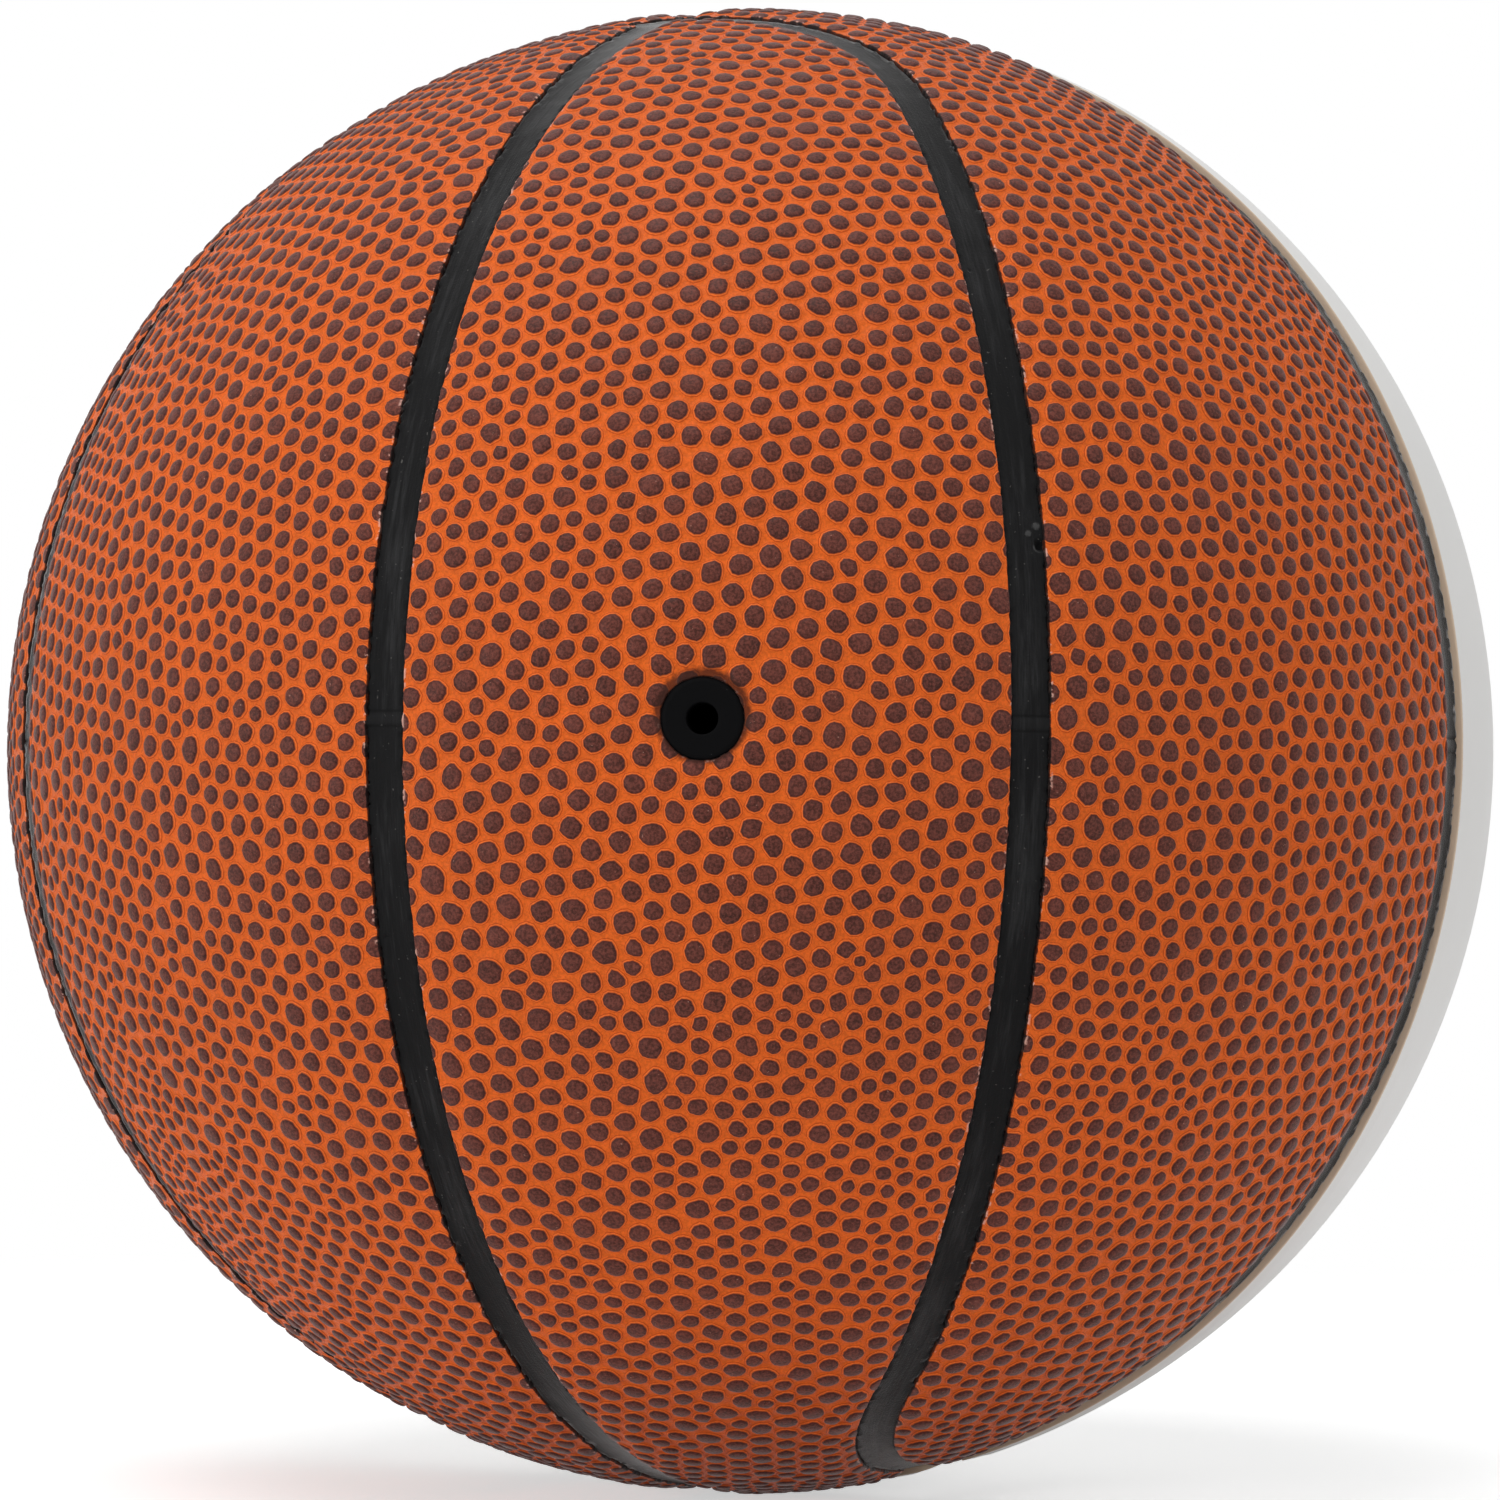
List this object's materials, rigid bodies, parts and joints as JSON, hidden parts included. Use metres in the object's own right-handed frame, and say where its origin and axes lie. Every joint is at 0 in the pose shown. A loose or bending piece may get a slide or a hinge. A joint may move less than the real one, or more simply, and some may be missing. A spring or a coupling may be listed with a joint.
{
  "type": "basketball",
  "caption": "Small basketball with pebbled orange and smooth white cover panels bonded to a ribbed rubber carcass over a wound bladder, with a rubber plug valve for an inflating needle.",
  "frame": {"origin": "centre of the ball", "axes": "+Z through the crossing of the two straight seams at the top, -Y out through the valve"},
  "size_m": [0.178, 0.1779, 0.1778],
  "materials": {
    "pebbled_cover": "pebbled synthetic leather, orange valleys and brown pebble tops",
    "smooth_cover": "smooth white synthetic leather, satin",
    "black_rubber": "matt moulded rubber",
    "nylon_thread": "wound nylon thread",
    "butyl": "butyl rubber",
    "valve_rubber": "soft matt rubber"
  },
  "bodies": {
    "ball": {"pebbled_panel_valve": "pebbled_cover", "pebbled_panel_left": "pebbled_cover", "pebbled_panel_right": "pebbled_cover", "pebbled_panel_far_left": "pebbled_cover", "smooth_panel_right": "smooth_cover", "smooth_panel_back_right": "smooth_cover", "smooth_panel_back": "smooth_cover", "smooth_panel_back_left": "smooth_cover", "carcass": "black_rubber", "thread_winding": "nylon_thread", "bladder": "butyl", "valve_housing": "butyl"},
    "valve_core": {"valve_core": "valve_rubber"}
  },
  "joints": [
    {"name": "valve_core_slide", "type": "slide", "parent": "ball", "child": "valve_core", "axis": [0, -1, 0], "range_m": [0, 0.022]}
  ]
}
